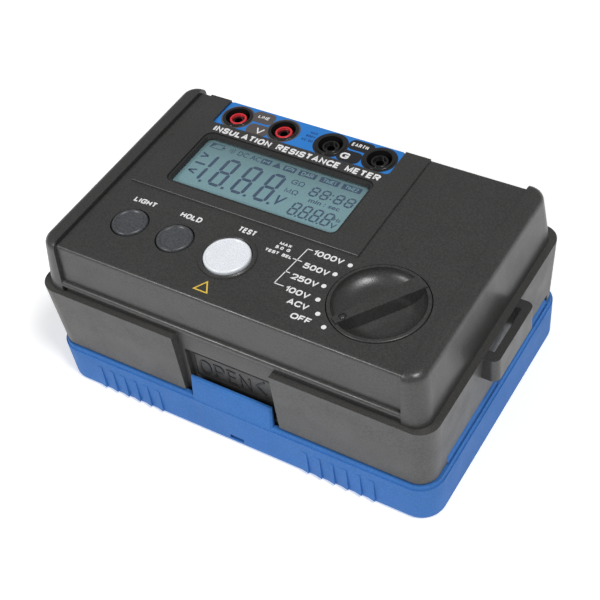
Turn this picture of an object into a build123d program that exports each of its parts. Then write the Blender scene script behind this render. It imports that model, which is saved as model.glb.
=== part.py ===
from build123d import *
import os

os.makedirs("parts", exist_ok=True)

# ---------------------------------------------------------------- driving dimensions (mm)
# Heights. z = 0 is the underside of the stowed cover, +Y points to the back.
COVER_FLOOR = 2.4          # inner floor of the storage cover
RIM_CREASE = 22.7          # where a small ledge ends the cover's wall and its slanted rim starts
RIM_TOP = 24.8
CASE_BOTTOM = 3.6          # underside of the lower case's floor
CASE_FLOOR = 6.1
SHOULDER = 26.2            # the wide block of the lower case starts here
PARTING = 63.2             # joint between lower and upper case
PANEL = 90.2
PLATEAU = 91.3
RAIL_TOP = 91.9
PANEL_UNDER = 87.9
BOARD_MAIN = 40.0          # underside of the main board
BOARD_DISPLAY = 80.0       # underside of the display board
BOARD_THICK = 1.6

# Half sizes (x, y) and corner radii of the outlines
COVER_LOW, COVER_CREASE = (103.6, 68.0, 12.0), (104.2, 68.4, 12.0)
RIM_LOW, RIM_HIGH = (103.7, 67.9, 11.6), (103.2, 67.4, 11.2)
COVER_CAVITY = (100.9, 65.2, 9.5)
BASE_LOW, BASE_TOP = (99.6, 63.8, 8.5), (100.4, 64.7, 9.0)
BLOCK_LOW, BLOCK_TOP = (102.2, 66.8, 9.5), (104.3, 67.9, 9.5)
CASE_CAVITY = (97.6, 61.9, 6.5)
UPPER_LOW, UPPER_TOP = (100.8, 65.6, 8.0), (98.2, 63.0, 8.0)
UPPER_CAVITY_LOW, UPPER_CAVITY_TOP = (98.2, 62.4, 5.5), (96.0, 59.0, 5.5)

RAIL_INNER = 89.5          # inner face of the two side rails
PANEL_FRONT, PANEL_BACK = -61.6, 60.5
WALL_FOOT = 63.1           # upper front and back walls, distance from the centre above the bead
BEAD = (63.4, 67.4, 1.9)   # y, z and radius of the bead along the front
RECESS_HALF = 25.9         # central front recess
RECESS_WALL = -63.9
POCKET_HALF, POCKET_BACK = 23.0, -61.2
POCKET_LOW, POCKET_HIGH = 27.0, 54.0

PLATEAU_X, PLATEAU_FRONT = (-83.2, 40.7), -10.2
DISPLAY_X = -21.6          # centre of plateau, display and socket row
WINDOW = (89.6, 34.2)      # visible display opening
WINDOW_Y = 15.7
LABEL_SIZE, LABEL_Y = (98.6, 18.2), (41.9, 60.1)
SOCKET_PITCH, SOCKET_Y = 26.6, 50.8
SOCKET_X = [DISPLAY_X + SOCKET_PITCH * (i - 1.5) for i in range(4)]
SOCKET_BORE = 2.0
SLEEVE_BORE = 3.3

BUTTON_Y = -34.5
LIGHT_X, HOLD_X, TEST_X = -66.4, -41.0, -12.2
KEY_R, TEST_R = 8.6, 10.9
KEY_HOLE, TEST_HOLE = 9.3, 11.3
KNOB_X, KNOB_Y = 62.0, -30.2
KNOB_R, KNOB_WELL_R, KNOB_WELL_WALL = 22.5, 22.9, 24.9
KNOB_REST = 237.0          # direction of the pointer at OFF, degrees from +X

CELL_R, CELL_LENGTH = 13.1, 50.0
CELL_ROWS = [-40.35, -13.45, 13.45, 40.35]
CELL_Z = 20.2
TRAY_HALF = (57.0, 55.6)
TRAY_TOP = 35.4
TRAY_WALL = 1.6

CASE_SCREWS = [(x, y) for x in (-91.5, 91.5) for y in (-50.0, 50.0)]
BOARD_POSTS = [(x, y) for x in (-79.0, 79.0) for y in (-50.0, 50.0)]
DISPLAY_POSTS = [(x, y) for x in (-76.0, 32.0) for y in (-43.0, 36.5)]
DOOR_SCREWS = [(x, y) for x in (-30.0, 30.0) for y in (-58.5, 58.5)]
FEET = [(x, y) for x in (-80.0, 80.0) for y in (-55.0, 55.0)]
LUG_Y, LUG_Z = (-18.6, 20.2), (50.0, PARTING)
LUG_OUT = 111.2
LUG_SLOT_OUT, LUG_SLOT_Y = 107.2, (-13.2, 14.9)  # the strap's slot lies against the flank

UPRIGHT = (Align.CENTER, Align.CENTER, Align.MIN)


# ---------------------------------------------------------------- helpers
def keep(piece, name):
    """Label a finished piece and write it as the node of the same name."""
    piece.part.label = name
    export_step(piece.part, f"parts/{name}.step")


def drafted(z_low, low, z_high, high, mode=Mode.ADD):
    """A block between two rounded rectangles, each given as half sizes and corner radius."""
    with BuildSketch(Plane.XY.offset(z_low)) as bottom:
        RectangleRounded(2 * low[0], 2 * low[1], low[2])
    with BuildSketch(Plane.XY.offset(z_high)) as top:
        RectangleRounded(2 * high[0], 2 * high[1], high[2])
    loft(sections=[bottom.sketch, top.sketch], mode=mode)


def bar(x, y, z, mode=Mode.ADD):
    """A box between two limits on each axis."""
    with Locations(((x[0] + x[1]) / 2, (y[0] + y[1]) / 2, z[0])):
        Box(x[1] - x[0], y[1] - y[0], z[1] - z[0], align=UPRIGHT, mode=mode)


def rod(places, radius, z_low, z_high, mode=Mode.ADD):
    """Upright cylinders of one size at each (x, y) place."""
    with Locations(*[(x, y, z_low) for x, y in places]):
        Cylinder(radius, z_high - z_low, align=UPRIGHT, mode=mode)


def rod_along_x(x_low, x_high, y, z, radius, mode=Mode.ADD):
    """A cylinder that lies along X."""
    with Locations(Location(((x_low + x_high) / 2, y, z), (0, 90, 0))):
        Cylinder(radius, x_high - x_low, mode=mode)


def prism_along_x(points, x_low, x_high, mode=Mode.ADD):
    """Extrude an outline of (y, z) points along X."""
    with BuildSketch(Plane.YZ.offset(x_low)) as outline:
        with BuildLine():
            Polyline(*points, close=True)
        make_face()
    extrude(outline.sketch, amount=x_high - x_low, mode=mode)


def prism_along_y(points, y_low, y_high, mode=Mode.ADD):
    """Extrude an outline of (x, z) points along Y."""
    with BuildSketch(Plane.XZ.offset(-y_low)) as outline:
        with BuildLine():
            Polyline(*points, close=True)
        make_face()
    extrude(outline.sketch, amount=-(y_high - y_low), mode=mode)


def mirrored_x(points):
    return [(-x, z) for x, z in points]


def turned(points, degrees, centre):
    """Turn (x, y) points about the origin and move them to a centre."""
    moved = [Vector(x, y, 0).rotate(Axis.Z, degrees) for x, y in points]
    return [(v.X + centre[0], v.Y + centre[1]) for v in moved]


# ---------------------------------------------------------------- storage cover, stowed underneath
RIB_PITCH = 6.94
RIB_X = [40.0 + RIB_PITCH * i for i in range(6)] + [-42.8 - RIB_PITCH * i for i in range(6)]
RIB_FOOT, RIB_TOP, RIB_DEPTH, RIB_LENGTH = 2.6, 17.0, 1.0, 5.2
NOTCH_HALF = 3.8
TONGUES_Y = [(-50.3, 0.0), (38.6, 55.0)]
TAB_HALF = 22.2

tab = [(-68.2, RIM_CREASE), (-66.3, 35.2), (-65.5, 36.5), (-64.4, 36.5), (-65.3, RIM_CREASE)]
with BuildPart() as latch_tab:
    prism_along_x(tab, -TAB_HALF, TAB_HALF)
    chamfer(latch_tab.faces().sort_by(Axis.Y)[0].edges().filter_by(Axis.X, reverse=True), 1.0)

with BuildPart() as storage_cover:
    drafted(0, COVER_LOW, RIM_CREASE, COVER_CREASE)
    fillet(storage_cover.faces().sort_by(Axis.Z)[0].edges(), 2.5)
    drafted(RIM_CREASE, RIM_LOW, RIM_TOP, RIM_HIGH)
    drafted(COVER_FLOOR, COVER_CAVITY, RIM_TOP, COVER_CAVITY, mode=Mode.SUBTRACT)
    # ramp-shaped grip ribs on the front and back walls, each with one steep side
    for side in (-1, 1):
        for rib_x in RIB_X:
            sections = []
            for z, depth in ((RIB_FOOT, RIB_DEPTH), (RIB_TOP, RIB_DEPTH * 0.4)):
                wall = side * (COVER_LOW[1] + 0.2)
                with BuildSketch(Plane.XY.offset(z)) as ramp:
                    with BuildLine():
                        Polyline((rib_x - RIB_LENGTH, wall), (rib_x, wall + side * depth), (rib_x, wall - side * 0.6),
                                 (rib_x - RIB_LENGTH, wall - side * 0.6), close=True)
                    make_face()
                sections.append(ramp.sketch)
            loft(sections=sections)
    # wedge tongues beside the flanks, each with a groove between it and the rim
    tongue = [(100.9, 23.0), (100.9, 28.2), (102.1, 27.2), (102.4, RIM_TOP - 0.6), (102.4, 23.0)]
    groove = [(102.4, RIM_TOP - 0.9), (102.4, RIM_TOP + 1), (102.9, RIM_TOP + 1), (102.9, RIM_TOP - 0.9)]
    for y_low, y_high in TONGUES_Y:
        for flank in (tongue, mirrored_x(tongue)):
            prism_along_y(flank, y_low, y_high)
        for flank in (groove, mirrored_x(groove)):
            prism_along_y(flank, y_low, y_high, mode=Mode.SUBTRACT)
    # latch tab in the middle of the front wall
    add(latch_tab.part)
    # finger notch at the foot of the front wall
    bar((-NOTCH_HALF, NOTCH_HALF), (-72, -66.9), (3.2, 6.0), mode=Mode.SUBTRACT)
keep(storage_cover, "storage_cover")

# ---------------------------------------------------------------- lower case
BOSS_SEAT = 50.5           # the case screws' heads bear here
BAY_HALF = (54.2, 53.0)    # battery opening in the floor
DOOR_HALF, DOOR_INSIDE = (57.1, 61.0), 4.8

with BuildPart() as lower_case:
    drafted(CASE_BOTTOM, BASE_LOW, SHOULDER, BASE_TOP)
    drafted(SHOULDER, BLOCK_LOW, PARTING, BLOCK_TOP)
    drafted(CASE_FLOOR, CASE_CAVITY, PARTING, CASE_CAVITY, mode=Mode.SUBTRACT)
    # wall behind the latch pocket
    bar((-27, 27), (-62.5, -58.6), (CASE_FLOOR, PARTING))
    # central front recess and the pocket behind the cover's tab
    bar((-RECESS_HALF, RECESS_HALF), (-72, RECESS_WALL), (SHOULDER, PARTING), mode=Mode.SUBTRACT)
    bar((-POCKET_HALF, POCKET_HALF), (-65, POCKET_BACK), (POCKET_LOW, POCKET_HIGH), mode=Mode.SUBTRACT)
    # the base is relieved below the recess, so that it clears the tab as it lifts out
    bar((-RECESS_HALF, RECESS_HALF), (-72, RECESS_WALL), (CASE_BOTTOM - 1, SHOULDER), mode=Mode.SUBTRACT)
    # the flanks are relieved above the cover's tongues
    relief = [(100.4, SHOULDER), (100.4, 28.7), (102.5, 30.9), (106, 30.9), (106, SHOULDER)]
    for y_low, y_high in TONGUES_Y:
        prism_along_y(relief, y_low - 0.6, y_high + 0.6, mode=Mode.SUBTRACT)
        prism_along_y(mirrored_x(relief), y_low - 0.6, y_high + 0.6, mode=Mode.SUBTRACT)
    # bosses for the case screws and posts for the main board
    rod(CASE_SCREWS, 4.5, CASE_FLOOR, PARTING)
    rod(BOARD_POSTS, 3.5, CASE_FLOOR, BOARD_MAIN)
    rod(CASE_SCREWS, 3.2, CASE_BOTTOM, BOSS_SEAT, mode=Mode.SUBTRACT)
    rod(CASE_SCREWS, 1.7, BOSS_SEAT, PARTING, mode=Mode.SUBTRACT)
    rod(BOARD_POSTS, 1.25, BOARD_MAIN - 9, BOARD_MAIN, mode=Mode.SUBTRACT)
    # battery opening, and a rebate for its door
    bar((-BAY_HALF[0], BAY_HALF[0]), (-BAY_HALF[1], BAY_HALF[1]), (CASE_BOTTOM, CASE_FLOOR), mode=Mode.SUBTRACT)
    rebate = [half + 0.3 for half in DOOR_HALF]
    bar((-rebate[0], rebate[0]), (-rebate[1], rebate[1]), (CASE_BOTTOM, DOOR_INSIDE + 0.1), mode=Mode.SUBTRACT)
    rod(DOOR_SCREWS, 2.6, CASE_FLOOR, 14.0)
    rod(DOOR_SCREWS, 1.25, DOOR_INSIDE, 13.0, mode=Mode.SUBTRACT)
keep(lower_case, "lower_case")

for hand, name in ((-1, "strap_lug_left"), (1, "strap_lug_right")):
    with BuildPart() as strap_lug:
        with BuildSketch(Plane.XY.offset(LUG_Z[0])):
            with Locations((hand * (LUG_OUT + 96) / 2, sum(LUG_Y) / 2)):
                RectangleRounded(LUG_OUT - 96, LUG_Y[1] - LUG_Y[0], 3.6)
        extrude(amount=LUG_Z[1] - LUG_Z[0])
        slot_x = sorted((hand * 100, hand * LUG_SLOT_OUT))
        bar(slot_x, LUG_SLOT_Y, (LUG_Z[0] - 1, LUG_Z[1] + 1), mode=Mode.SUBTRACT)
        # the inner face follows the drafted flank of the block
        drafted(SHOULDER, (BLOCK_LOW[0] + 0.04, BLOCK_LOW[1], 9.5), PARTING,
                (BLOCK_TOP[0] + 0.04, BLOCK_TOP[1], 9.5), mode=Mode.SUBTRACT)
    keep(strap_lug, name)

# ---------------------------------------------------------------- upper case
with BuildPart() as upper_case:
    drafted(PARTING, UPPER_LOW, RAIL_TOP, UPPER_TOP)
    fillet(upper_case.faces().sort_by(Axis.Z)[-1].edges(), 4.5)
    bar((-RAIL_INNER, RAIL_INNER), (-80, 80), (PANEL, RAIL_TOP + 1), mode=Mode.SUBTRACT)
    # front and back walls lie deeper than the corner pillars
    front = [(-80, PARTING), (RECESS_WALL, PARTING), (-WALL_FOOT, 69.5), (PANEL_FRONT, PANEL), (-80, PANEL)]
    back = [(80, PARTING), (64.4, PARTING), (PANEL_BACK, PANEL), (80, PANEL)]
    prism_along_x(front, -RAIL_INNER, RAIL_INNER, mode=Mode.SUBTRACT)
    prism_along_x(back, -RAIL_INNER, RAIL_INNER, mode=Mode.SUBTRACT)
    lips = upper_case.edges().filter_by(Axis.X).filter_by(
        lambda e: abs(e.center().Z - PANEL) < 0.01 and e.length > 100)
    fillet(lips, 1.8)
    # bead along the foot of the front wall
    rod_along_x(-RAIL_INNER, RAIL_INNER, -BEAD[0], BEAD[1], BEAD[2])
    # raised plateau for sockets and display
    bar(PLATEAU_X, (PLATEAU_FRONT, PANEL_BACK - 0.4), (PANEL - 1, PLATEAU))
    plateau_top = upper_case.faces().filter_by(Axis.Z).filter_by(lambda f: abs(f.center().Z - PLATEAU) < 0.01)
    fillet(plateau_top.edges(), 0.7)
    # narrow joint lines inside the rails
    for hand in (-1, 1):
        line_x = sorted((hand * (RAIL_INNER - 0.55), hand * RAIL_INNER))
        bar(line_x, (PANEL_FRONT + 0.5, PANEL_BACK - 0.5), (PANEL - 0.7, PANEL + 0.2), mode=Mode.SUBTRACT)
    # hollow
    drafted(PARTING, UPPER_CAVITY_LOW, PANEL_UNDER, UPPER_CAVITY_TOP, mode=Mode.SUBTRACT)
    # knob well with a floor
    rod([(KNOB_X, KNOB_Y)], KNOB_WELL_WALL, 80.4, PANEL_UNDER)
    rod([(KNOB_X, KNOB_Y)], KNOB_WELL_R, 82.4, PLATEAU, mode=Mode.SUBTRACT)
    rod([(KNOB_X, KNOB_Y)], 8.6, 80, PLATEAU, mode=Mode.SUBTRACT)
    # button holes, display opening, label recess and socket holes
    rod([(LIGHT_X, BUTTON_Y), (HOLD_X, BUTTON_Y)], KEY_HOLE, PANEL_UNDER - 1, PLATEAU, mode=Mode.SUBTRACT)
    rod([(TEST_X, BUTTON_Y)], TEST_HOLE, PANEL_UNDER - 1, PLATEAU, mode=Mode.SUBTRACT)
    with BuildSketch(Plane.XY.offset(PANEL_UNDER - 1)):
        with Locations((DISPLAY_X, WINDOW_Y)):
            RectangleRounded(94.0, 39.0, 4.5)
    extrude(amount=5, mode=Mode.SUBTRACT)
    with BuildSketch(Plane.XY.offset(PANEL - 0.9)):
        with Locations((DISPLAY_X, sum(LABEL_Y) / 2 + 1.5)):
            RectangleRounded(LABEL_SIZE[0] + 0.3, LABEL_SIZE[1] + 3.3, 2.2)
    extrude(amount=3, mode=Mode.SUBTRACT)
    rod([(x, SOCKET_Y) for x in SOCKET_X], 7.1, PANEL_UNDER - 1, PLATEAU, mode=Mode.SUBTRACT)
    # bosses for the case screws and posts for the display board
    rod(CASE_SCREWS, 4.0, PARTING + 0.2, PANEL_UNDER)
    rod(CASE_SCREWS, 1.55, PARTING, 75.0, mode=Mode.SUBTRACT)
    rod(DISPLAY_POSTS, 2.6, BOARD_DISPLAY + BOARD_THICK + 0.05, PANEL_UNDER)
    rod(DISPLAY_POSTS, 1.25, BOARD_DISPLAY, 86.5, mode=Mode.SUBTRACT)
keep(upper_case, "upper_case")

# ---------------------------------------------------------------- display stack
GLASS = (92.0, 37.0)       # liquid-crystal glass
LENS, LENS_Z = (91.6, 36.4), (87.95, 88.95)

with BuildPart() as lcd_bezel:
    with BuildSketch(Plane.XY.offset(LENS_Z[0])):
        with Locations((DISPLAY_X, WINDOW_Y)):
            RectangleRounded(93.8, 38.8, 4.4)
    extrude(amount=90.75 - LENS_Z[0])
    fillet(lcd_bezel.faces().sort_by(Axis.Z)[-1].edges(), 0.4)
    with BuildSketch(Plane.XY.offset(LENS_Z[1])) as inner_low:
        with Locations((DISPLAY_X, WINDOW_Y)):
            RectangleRounded(WINDOW[0], WINDOW[1], 2.6)
    with BuildSketch(Plane.XY.offset(90.75)) as inner_high:
        with Locations((DISPLAY_X, WINDOW_Y)):
            RectangleRounded(WINDOW[0] + 1.8, WINDOW[1] + 1.8, 3.4)
    loft(sections=[inner_low.sketch, inner_high.sketch], mode=Mode.SUBTRACT)
    with BuildSketch(Plane.XY.offset(LENS_Z[0])):
        with Locations((DISPLAY_X, WINDOW_Y)):
            RectangleRounded(LENS[0] + 0.2, LENS[1] + 0.2, 3.2)
    extrude(amount=LENS_Z[1] - LENS_Z[0], mode=Mode.SUBTRACT)
keep(lcd_bezel, "lcd_bezel")


def display_plate(size, corner, z, name):
    """A layer of the display stack with round corners, centred on the window."""
    with BuildPart() as plate:
        with BuildSketch(Plane.XY.offset(z[0])):
            with Locations((DISPLAY_X, WINDOW_Y)):
                RectangleRounded(*size, corner)
        extrude(amount=z[1] - z[0])
    keep(plate, name)


display_plate(LENS, 3.1, (LENS_Z[0] + 0.05, LENS_Z[1] - 0.05), "lcd_lens")
display_plate(GLASS, 0.4, (85.6, 87.8), "lcd_glass")
display_plate((86.0, 28.0), 1.0, (82.6, 85.5), "lcd_backlight")

with BuildPart() as zebra_strips:
    for side in (-1, 1):
        y = WINDOW_Y + side * 16.6
        bar((DISPLAY_X - 44, DISPLAY_X + 44), (y - 1.2, y + 1.2), (81.65, 85.55))
keep(zebra_strips, "zebra_strips")

BOARD_TOP = BOARD_DISPLAY + BOARD_THICK
with BuildPart() as display_board:
    bar((-80, 35.5), (-47, 40.5), (BOARD_DISPLAY, BOARD_TOP))
    rod(DISPLAY_POSTS, 1.4, BOARD_DISPLAY - 1, BOARD_TOP + 1, mode=Mode.SUBTRACT)
keep(display_board, "display_board")

with BuildPart() as display_screws:
    rod(DISPLAY_POSTS, 2.4, BOARD_DISPLAY - 1.8, BOARD_DISPLAY - 0.05)
    rod(DISPLAY_POSTS, 1.2, BOARD_DISPLAY - 0.1, 86.0)
    rod(DISPLAY_POSTS, 1.0, BOARD_DISPLAY - 2, BOARD_DISPLAY - 0.9, mode=Mode.SUBTRACT)
keep(display_screws, "display_screws")

# ---------------------------------------------------------------- terminals
with BuildPart() as terminal_label:
    with BuildSketch(Plane.XY.offset(PANEL - 0.85)):
        with Locations((DISPLAY_X, sum(LABEL_Y) / 2)):
            RectangleRounded(*LABEL_SIZE, 2.0)
        with Locations(*[(x, SOCKET_Y) for x in SOCKET_X]):
            Circle(7.15, mode=Mode.SUBTRACT)
    extrude(amount=0.8)
keep(terminal_label, "terminal_label")

SOCKET_FLOOR, SOCKET_MOUTH = 66.0, 90.7
for x, name in zip(SOCKET_X, ("line_socket", "volt_socket", "guard_socket", "earth_socket")):
    with BuildPart() as socket:
        rod([(x, SOCKET_Y)], 7.0, SOCKET_FLOOR - 2, SOCKET_MOUTH)
        rod([(x, SOCKET_Y)], 7.6, PANEL + 0.0, SOCKET_MOUTH)
        fillet(socket.faces().sort_by(Axis.Z)[-1].edges(), 0.35)
        rod([(x, SOCKET_Y)], 6.1, SOCKET_FLOOR, SOCKET_MOUTH, mode=Mode.SUBTRACT)
        rod([(x, SOCKET_Y)], 2.95, SOCKET_FLOOR - 3, SOCKET_FLOOR, mode=Mode.SUBTRACT)
    keep(socket, name)

for places, name in ((SOCKET_X[:2], "socket_sleeves_red"), (SOCKET_X[2:], "socket_sleeves_black")):
    spots = [(x, SOCKET_Y) for x in places]
    with BuildPart() as sleeves:
        rod(spots, 4.3, SOCKET_FLOOR + 0.05, 89.4)
        fillet(sleeves.faces().filter_by(lambda f: f.center().Z > 89).edges(), 0.4)
        rod(spots, SLEEVE_BORE, SOCKET_FLOOR - 3, 90, mode=Mode.SUBTRACT)
    keep(sleeves, name)

with BuildPart() as socket_contacts:
    spots = [(x, SOCKET_Y) for x in SOCKET_X]
    rod(spots, 2.9, 65.0, SOCKET_FLOOR + 0.2)
    rod(spots, SLEEVE_BORE - 0.05, SOCKET_FLOOR + 0.1, 88.0)
    rod(spots, 1.2, 59.0, 65.0)
    rod(spots, SOCKET_BORE, 68.0, 88.0, mode=Mode.SUBTRACT)
keep(socket_contacts, "socket_contacts")

with BuildPart() as terminal_board:
    bar((-72, 29), (43, 58), (60.2, 61.8))
    rod([(x, SOCKET_Y) for x in SOCKET_X], 1.3, 60, 62, mode=Mode.SUBTRACT)
keep(terminal_board, "terminal_board")

# ---------------------------------------------------------------- push buttons
KEY_TOP, TEST_TOP = 91.2, 92.0
KEY_HOLLOW, TEST_HOLLOW = 7.0, 9.7  # radius of the sunk face inside each rim


def sink_face(x, radius, top, depth):
    """Sinks the face of a button inside its rim, with a sloping step."""
    with BuildSketch(Plane.XY.offset(top - depth)) as floor:
        with Locations((x, BUTTON_Y)):
            Circle(radius - depth)
    with BuildSketch(Plane.XY.offset(top)) as mouth:
        with Locations((x, BUTTON_Y)):
            Circle(radius)
    loft(sections=[floor.sketch, mouth.sketch], mode=Mode.SUBTRACT)


for x, name in ((LIGHT_X, "light_button"), (HOLD_X, "hold_button")):
    with BuildPart() as key:
        rod([(x, BUTTON_Y)], KEY_R, 86.0, KEY_TOP)
        fillet(key.faces().sort_by(Axis.Z)[-1].edges(), 1.2)
        rod([(x, BUTTON_Y)], 9.8, 86.0, 87.2)
        rod([(x, BUTTON_Y)], 2.2, 83.6, 86.2)
        sink_face(x, KEY_HOLLOW, KEY_TOP, 0.45)
    keep(key, name)

for x, name in ((LIGHT_X, "light_dome"), (HOLD_X, "hold_dome")):
    with BuildPart() as dome:
        with Locations((x, BUTTON_Y, 81.65)):
            Cone(6.6, 5.0, 4.3, align=UPRIGHT)
            Cone(5.8, 4.2, 3.9, align=UPRIGHT, mode=Mode.SUBTRACT)
        rod([(x, BUTTON_Y)], 2.6, 85, 86.2, mode=Mode.SUBTRACT)
    keep(dome, name)

with BuildPart() as test_button:
    rod([(TEST_X, BUTTON_Y)], TEST_R, 84.4, TEST_TOP)
    fillet(test_button.faces().sort_by(Axis.Z)[-1].edges(), 1.0)
    sink_face(TEST_X, TEST_HOLLOW, TEST_TOP, 0.25)
    rod([(TEST_X, BUTTON_Y)], 12.2, 84.4, 85.6)
    rod([(TEST_X, BUTTON_Y)], 9.3, 84.4, 89.9, mode=Mode.SUBTRACT)
    rod([(TEST_X + 3.6, BUTTON_Y)], 1.6, 86.3, 90.2)
keep(test_button, "test_button")

with BuildPart() as test_bezel:
    with BuildSketch(Plane.XZ.offset(-BUTTON_Y)) as half:
        with BuildLine():
            Polyline((TEST_X + TEST_HOLE, PANEL + 0.02), (TEST_X + 13.6, PANEL + 0.02), (TEST_X + 13.3, PANEL + 0.7),
                     (TEST_X + 12.6, PANEL + 1.1), (TEST_X + 11.9, PANEL + 0.9), (TEST_X + TEST_HOLE, PANEL + 0.3),
                     close=True)
        make_face()
    revolve(axis=Axis((TEST_X, BUTTON_Y, 0), (0, 0, 1)))
keep(test_bezel, "test_bezel")

SPRING_R, SPRING_WIRE = 8.3, 0.35
with BuildPart() as test_spring:
    with BuildLine() as coil:
        Helix(pitch=2.3, height=6.9, radius=SPRING_R, center=(TEST_X, BUTTON_Y, 82.35))
    with BuildSketch(Plane(coil.line @ 0, z_dir=coil.line % 0)) as wire:
        Circle(SPRING_WIRE)
    sweep(path=coil.line, is_frenet=True)
keep(test_spring, "test_spring")

with BuildPart() as test_lamp:
    rod([(TEST_X - 3.4, BUTTON_Y)], 1.9, BOARD_TOP + 0.05, 82.4)
    rod([(TEST_X - 3.4, BUTTON_Y)], 1.5, 82.4, 84.4)
    with Locations((TEST_X - 3.4, BUTTON_Y, 84.4)):
        Sphere(1.5)
keep(test_lamp, "test_lamp")

with BuildPart() as test_switch:
    bar((TEST_X + 0.6, TEST_X + 6.6), (BUTTON_Y - 3, BUTTON_Y + 3), (BOARD_TOP + 0.05, 83.6))
    rod([(TEST_X + 3.6, BUTTON_Y)], 1.5, 83.5, 84.2)
keep(test_switch, "test_switch")

# ---------------------------------------------------------------- range knob and its switch
DIMPLE = turned([(17.2, 0)], KNOB_REST, (KNOB_X, KNOB_Y))[0]
GRIP = turned([(22.0, -2.3), (22.0, 2.3), (-22.0, 4.3), (-22.0, -4.3)], KNOB_REST, (KNOB_X, KNOB_Y))
KNOB_BASE, KNOB_RIM, GRIP_TOP = 83.0, 90.7, 91.8

with BuildPart() as range_knob:
    rod([(KNOB_X, KNOB_Y)], KNOB_R, KNOB_BASE, KNOB_RIM)
    fillet(range_knob.faces().sort_by(Axis.Z)[-1].edges(), 0.6)
    # dished on both sides of the grip
    with BuildSketch(Plane.XZ.offset(-KNOB_Y)):
        with BuildLine():
            Polyline((KNOB_X, KNOB_RIM + 1), (KNOB_X, KNOB_BASE + 1.6), (KNOB_X + 12, KNOB_BASE + 1.6))
            Spline((KNOB_X + 12, KNOB_BASE + 1.6), (KNOB_X + 18.2, KNOB_BASE + 3.6), (KNOB_X + 20.8, KNOB_RIM),
                   tangents=((1, 0), (0.1, 1)))
            Polyline((KNOB_X + 20.8, KNOB_RIM), (KNOB_X + 20.8, KNOB_RIM + 1), (KNOB_X, KNOB_RIM + 1))
        make_face()
    revolve(axis=Axis((KNOB_X, KNOB_Y, 0), (0, 0, 1)), mode=Mode.SUBTRACT)
    with BuildSketch(Plane.XY.offset(KNOB_BASE)) as grip:
        with BuildLine():
            Polyline(*GRIP, close=True)
        make_face()
        with Locations((KNOB_X, KNOB_Y)):
            Circle(22.2, mode=Mode.INTERSECT)
    extrude(amount=GRIP_TOP - KNOB_BASE, taper=3)
    # pointer mark: a round pit with a low dome in it
    rod([DIMPLE], 1.9, GRIP_TOP - 0.8, GRIP_TOP + 1, mode=Mode.SUBTRACT)
    with Locations((*DIMPLE, GRIP_TOP - 1.2)):
        Sphere(1.35)
    # hub with a bore for the shaft
    rod([(KNOB_X, KNOB_Y)], 8.2, 77.2, KNOB_BASE)
    rod([(KNOB_X, KNOB_Y)], 3.0, 77, 84.4, mode=Mode.SUBTRACT)
keep(range_knob, "range_knob")

with BuildPart() as knob_shaft:
    rod([(KNOB_X, KNOB_Y)], 2.98, 66.0, 84.0)
keep(knob_shaft, "knob_shaft")

with BuildPart() as switch_rotor:
    rod([(KNOB_X, KNOB_Y)], 15.0, 66.6, 69.0)
    rod([(KNOB_X, KNOB_Y)], 5.0, 69.0, 73.6)
    rod([(KNOB_X, KNOB_Y)], 2.99, 66, 74, mode=Mode.SUBTRACT)
    with Locations(*[Location((x, y, 69.0), (0, 0, KNOB_REST))
                     for x, y in turned([(14.6, 0)], KNOB_REST, (KNOB_X, KNOB_Y))]):
        Box(3.2, 3.2, 2.0, mode=Mode.SUBTRACT)
keep(switch_rotor, "switch_rotor")

with BuildPart() as detent_ball:
    with Locations(*[(x, y, 69.1) for x, y in turned([(15.3, 0)], KNOB_REST, (KNOB_X, KNOB_Y))]):
        Sphere(1.0)
keep(detent_ball, "detent_ball")

with BuildPart() as detent_spring:
    with BuildSketch(Plane.XY.offset(68.1)):
        with BuildLine():
            Polyline(*turned([(13.3, -1.1), (13.8, 0), (13.3, 1.1), (13.7, 1.1), (14.2, 0), (13.7, -1.1)],
                             KNOB_REST, (KNOB_X, KNOB_Y)), close=True)
        make_face()
    extrude(amount=1.7)
keep(detent_spring, "detent_spring")

with BuildPart() as wiper_contacts:
    for turn in (70, 190, 310):
        spot = turned([(11.0, 0)], turn, (KNOB_X, KNOB_Y))
        rod(spot, 1.2, 65.6, 66.55)
keep(wiper_contacts, "wiper_contacts")

with BuildPart() as switch_housing:
    rod([(KNOB_X, KNOB_Y)], 19.0, 63.0, 74.4)
    rod([(KNOB_X, KNOB_Y)], 16.6, 65.4, 74.4, mode=Mode.SUBTRACT)
    rod(turned([(17.0, 0)], 20, (KNOB_X, KNOB_Y)), 0.9, 65.4, 74.4, mode=Mode.SUBTRACT)
keep(switch_housing, "switch_housing")

with BuildPart() as switch_lid:
    rod([(KNOB_X, KNOB_Y)], 19.0, 74.45, 76.8)
    rod([(KNOB_X, KNOB_Y)], 3.05, 74, 77, mode=Mode.SUBTRACT)
    rod([(KNOB_X, KNOB_Y)], 19.0, 76.8, 80.35)
    rod([(KNOB_X, KNOB_Y)], 12.0, 76.8, 80.35, mode=Mode.SUBTRACT)
keep(switch_lid, "switch_lid")

with BuildPart() as switch_board:
    bar((41, 84), (-52, -9), (61.2, 62.8))
keep(switch_board, "switch_board")

# ---------------------------------------------------------------- main board and what it carries
MAIN_TOP = BOARD_MAIN + BOARD_THICK
ON_BOARD = MAIN_TOP + 0.05

with BuildPart() as main_board:
    bar((-84, 84), (-56.5, 56.5), (BOARD_MAIN, MAIN_TOP))
    rod(BOARD_POSTS, 1.6, BOARD_MAIN - 1, MAIN_TOP + 1, mode=Mode.SUBTRACT)
keep(main_board, "main_board")

with BuildPart() as board_screws:
    rod(BOARD_POSTS, 3.0, ON_BOARD, MAIN_TOP + 2.2)
    rod(BOARD_POSTS, 1.2, BOARD_MAIN - 7, ON_BOARD + 0.1)
    rod(BOARD_POSTS, 1.1, MAIN_TOP + 1.0, MAIN_TOP + 3, mode=Mode.SUBTRACT)
keep(board_screws, "board_screws")

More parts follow.
